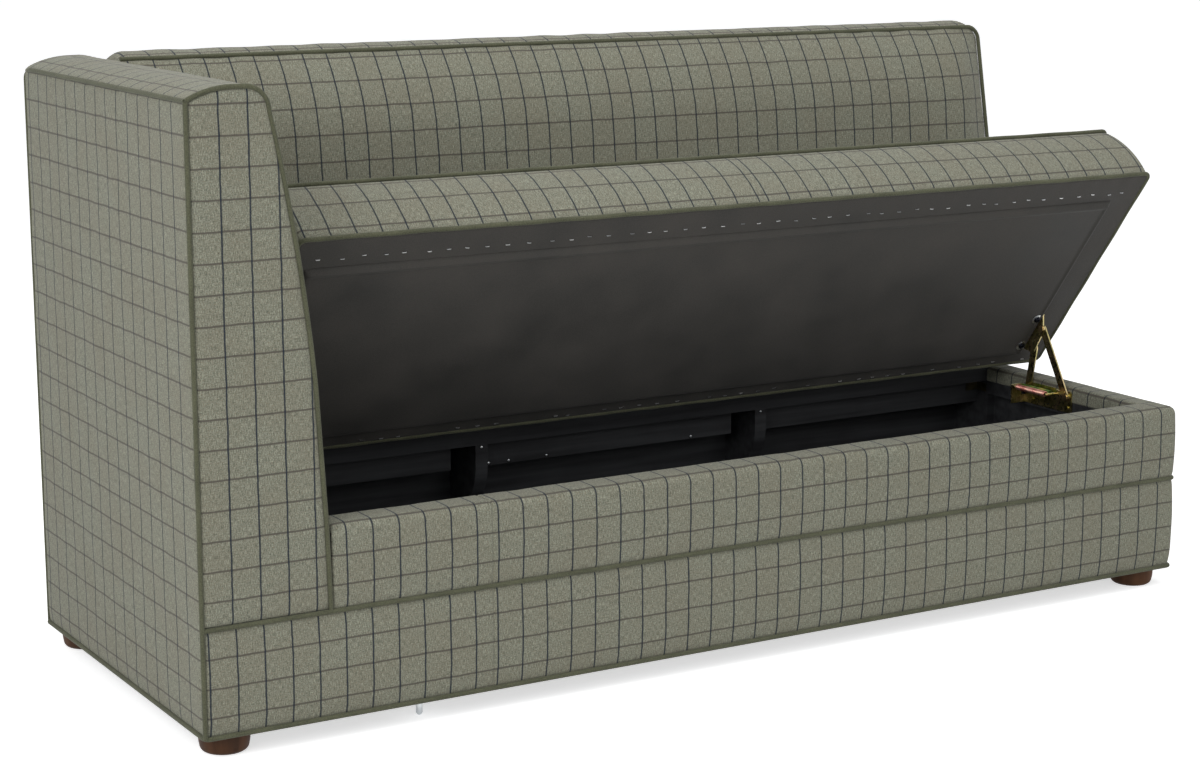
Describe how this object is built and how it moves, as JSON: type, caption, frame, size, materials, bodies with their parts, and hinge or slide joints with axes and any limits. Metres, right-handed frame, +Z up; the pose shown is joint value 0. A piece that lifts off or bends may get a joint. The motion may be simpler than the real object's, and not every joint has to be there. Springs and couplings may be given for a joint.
{
  "type": "corner storage banquette",
  "caption": "Upholstered corner banquette with a closed arm, a back and a piped seat that lifts on spring hinges over a storage box, on low turned feet.",
  "frame": {"origin": "on the floor under the middle of the banquette's outline", "axes": "+X along the banquette from the arm to the free end, +Y from the front to the back, +Z up"},
  "size_m": [1.748, 0.658, 0.9151],
  "materials": {
    "tweed_cloth": "grey-green tweed with a fine navy and brown windowpane check",
    "piping_cloth": "olive woven piping",
    "black_painted_wood": "matte black paint on timber",
    "frame_timber": "raw softwood and ply",
    "black_cloth": "black spun lining cloth",
    "yellow_zinc_steel": "iridescent yellow zinc plating",
    "black_steel": "black bolt heads on bright washers",
    "bright_zinc_steel": "bright zinc plating",
    "stained_wood": "dark brown stain"
  },
  "bodies": {
    "base": {"arm_corner_piping": "piping_cloth", "arm_front_panel": "tweed_cloth", "arm_front_piping": "piping_cloth", "arm_front_post": "frame_timber", "arm_outer_panel": "tweed_cloth", "arm_pad": "tweed_cloth", "arm_rear_post": "frame_timber", "arm_top_piping": "piping_cloth", "arm_top_rail": "frame_timber", "assist_springs": "yellow_zinc_steel", "back_boxing": "tweed_cloth", "back_front_piping": "piping_cloth", "back_pad": "tweed_cloth", "back_posts": "frame_timber", "back_top_rail": "frame_timber", "base_bracket_left": "yellow_zinc_steel", "base_bracket_right": "yellow_zinc_steel", "base_rivets": "yellow_zinc_steel", "base_screws": "yellow_zinc_steel", "bottom_piping": "piping_cloth", "corner_bracket": "yellow_zinc_steel", "corner_post": "black_painted_wood", "deck_board": "black_painted_wood", "end_lower_band": "tweed_cloth", "end_upper_band": "tweed_cloth", "feet": "stained_wood", "floor_board": "black_painted_wood", "front_batten": "black_painted_wood", "front_board": "black_painted_wood", "front_lower_band": "tweed_cloth", "front_upper_band": "tweed_cloth", "ledge_rail": "black_painted_wood", "ledge_rib_left": "black_painted_wood", "ledge_rib_right": "black_painted_wood", "left_end_board": "black_painted_wood", "lower_rails": "black_painted_wood", "mid_piping": "piping_cloth", "outer_back_panel": "tweed_cloth", "rear_board": "black_painted_wood", "rear_piping": "piping_cloth", "right_batten": "black_painted_wood", "right_end_board": "black_painted_wood", "support_leg": "bright_zinc_steel", "under_cover": "black_cloth"},
    "front_links": {"front_link_left": "yellow_zinc_steel", "front_link_right": "yellow_zinc_steel"},
    "lid": {"lid_board": "frame_timber", "lid_bolts": "black_steel", "lid_border": "black_cloth", "lid_bottom_piping": "piping_cloth", "lid_bracket_left": "yellow_zinc_steel", "lid_bracket_right": "yellow_zinc_steel", "lid_cushion": "tweed_cloth", "lid_dust_panel": "black_cloth", "lid_rivets": "yellow_zinc_steel", "lid_top_piping": "piping_cloth"},
    "rear_links": {"rear_link_left": "yellow_zinc_steel", "rear_link_right": "yellow_zinc_steel"}
  },
  "joints": [
    {"name": "lid_lift", "type": "hinge", "parent": "base", "child": "front_links", "pos_m": [0, -0.1108, 0.2919], "axis": [1, 0, 0], "range_deg": [-58.71, 0], "stiffness_Nm_per_rad": 13.5, "springref_deg": 77.35, "deforming": ["assist_springs"]},
    {"name": "lid_tilt", "type": "hinge", "parent": "front_links", "child": "lid", "pos_m": [0, -0.04581, 0.40231], "axis": [1, 0, 0], "range_deg": [0, 111.92]},
    {"name": "rear_link_swing", "type": "hinge", "parent": "base", "child": "rear_links", "pos_m": [0, -0.0088, 0.2939], "axis": [1, 0, 0], "range_deg": [-104.12, 0]}
  ],
  "couplings": [
    {"joint": "lid_tilt", "follows": "lid_lift", "ratio": -1.9061},
    {"joint": "rear_link_swing", "follows": "lid_lift", "ratio": 1.7732}
  ]
}
